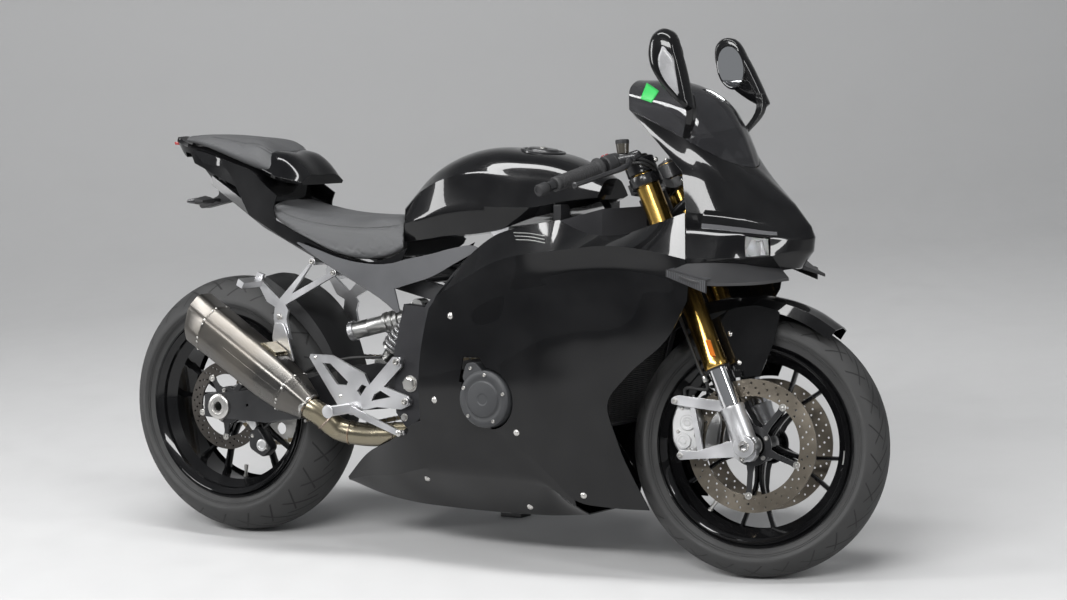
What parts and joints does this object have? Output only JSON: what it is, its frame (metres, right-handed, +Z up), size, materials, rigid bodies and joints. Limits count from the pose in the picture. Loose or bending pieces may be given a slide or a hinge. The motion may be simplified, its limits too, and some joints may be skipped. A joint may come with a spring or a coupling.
{
  "type": "sport bike",
  "caption": "Fully faired road sport bike with under-slung link pipe, side silencer and chin winglets, leaning on its side stand with the bars turned left.",
  "frame": {"origin": "centre of the bounding box's bottom face, on the ground under the bike as it stands on its side stand", "axes": "+X to the bike's front, +Y to its left, +Z up; the bike leans 9 degrees to its left about the line through its tyres, and its front is turned 11.7 degrees left"},
  "size_m": [2.071, 0.7486, 1.2552],
  "materials": {
    "frame_grey": "satin dark grey paint",
    "frame_black": "satin black paint",
    "engine_black": "matt black paint",
    "steel": "machined",
    "disc_steel": "ground",
    "titanium": "brushed, heat tinted",
    "silver": "machined and silver anodised",
    "radiator_alloy": "black",
    "gold": "gold anodised",
    "gloss_black_metal": "gloss black paint",
    "gloss_black": "gloss black",
    "matt_black": "matt black",
    "cover_grey": "matt dark grey",
    "seat": "dark grey synthetic leather",
    "tyre": "road rubber",
    "grip": "moulded",
    "screen": "smoke tinted clear plastic",
    "lamp": "clear",
    "tail_red": "red lens",
    "amber": "amber reflector"
  },
  "bodies": {
    "chassis": {"frame": "frame_grey", "subframe": "frame_black", "swing_pivot": "steel", "engine": "engine_black", "clutch_cover": "cover_grey", "generator_cover": "cover_grey", "gearbox_sprocket": "steel", "radiator": "radiator_alloy", "exhaust_headers": "titanium", "link_pipe": "titanium", "silencer": "titanium", "fuel_tank": "gloss_black_metal", "rider_seat": "seat", "pillion_seat": "seat", "tail_cowl": "gloss_black", "tail_panels": "gloss_black", "tail_light": "tail_red", "plate_holder": "matt_black", "side_covers": "matt_black", "fairing_right": "gloss_black", "fairing_left": "gloss_black", "belly_pan": "gloss_black", "nose_cowl": "gloss_black", "nose_stay": "frame_black", "windscreen": "screen", "winglets": "matt_black", "headlamps": "lamp", "mirrors": "gloss_black", "display": "gloss_black", "footrest_right": "silver", "footrest_left": "silver", "pillion_rests": "silver", "swingarm": "frame_black", "rear_axle": "steel", "rear_caliper": "frame_black", "hugger": "matt_black", "shock": "silver", "chain": "steel"},
    "steering": {"fork_clamps": "frame_black", "fork_uppers": "gold", "fork_lowers": "silver", "front_axle": "steel", "front_calipers": "silver", "front_mudguard": "gloss_black", "reflectors": "amber", "handlebars": "frame_black", "grips": "grip", "hand_controls": "matt_black", "brake_hoses": "grip"},
    "front_wheel": {"front_tyre": "tyre", "front_rim": "gloss_black_metal", "front_discs": "disc_steel"},
    "rear_wheel": {"rear_tyre": "tyre", "rear_rim": "gloss_black_metal", "rear_disc": "disc_steel", "rear_sprocket": "steel"},
    "side_stand": {"side_stand": "frame_black"}
  },
  "joints": [
    {"name": "steering", "type": "hinge", "parent": "chassis", "child": "steering", "pos_m": [0.49786, 0.01066, 0.76704], "axis": [-0.4017, 0.1431, 0.9045], "range_deg": [-36.7, 13.3]},
    {"name": "front_wheel_spin", "type": "hinge", "parent": "steering", "child": "front_wheel", "pos_m": [0.73962, -0.05814, 0.29353], "axis": [-0.186, 0.9544, -0.2336], "continuous": true},
    {"name": "rear_wheel_spin", "type": "hinge", "parent": "chassis", "child": "rear_wheel", "pos_m": [-0.71677, -0.06094, 0.31738], "axis": [-0.0003, 0.9877, -0.1564], "continuous": true},
    {"name": "side_stand", "type": "hinge", "parent": "chassis", "child": "side_stand", "pos_m": [-0.16886, 0.11174, 0.26869], "axis": [0.0281, 0.9691, 0.2449], "range_deg": [0, 100]}
  ]
}
